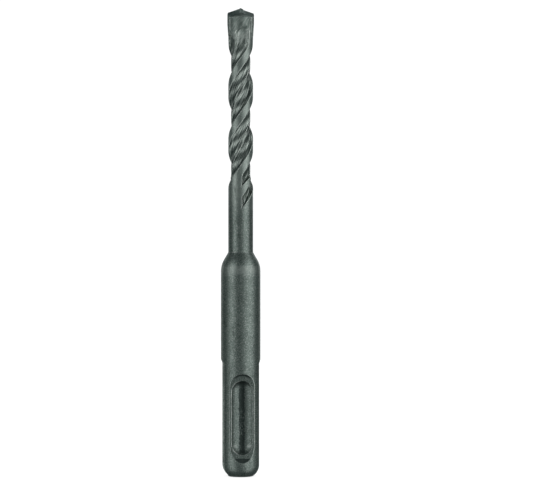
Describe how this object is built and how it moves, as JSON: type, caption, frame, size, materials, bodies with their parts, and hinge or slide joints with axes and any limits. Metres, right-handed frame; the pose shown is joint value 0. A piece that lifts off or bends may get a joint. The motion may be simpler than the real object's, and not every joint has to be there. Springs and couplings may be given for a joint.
{
  "type": "sds plus drill bit",
  "caption": "Masonry drill bit with a grooved hammer shank, a stepped neck, four right-hand spiral flutes and a brazed carbide tip.",
  "frame": {"origin": "centre of the flat end face of the shank, which the bit stands on", "axes": "+Z along the bit's axis from the shank to the tip; the two closed ball grooves face -Y and +Y and the two open driving grooves face -X and +X"},
  "size_m": [0.01, 0.01, 0.1185],
  "materials": {
    "blasted_steel": "fine blasted grey steel, ground bright in the flutes",
    "carbide": "ground sintered tungsten carbide",
    "braze": "dull brazing filler"
  },
  "bodies": {
    "root": {"steel_body": "blasted_steel", "carbide_tip": "carbide", "braze_seam": "braze"}
  },
  "joints": []
}
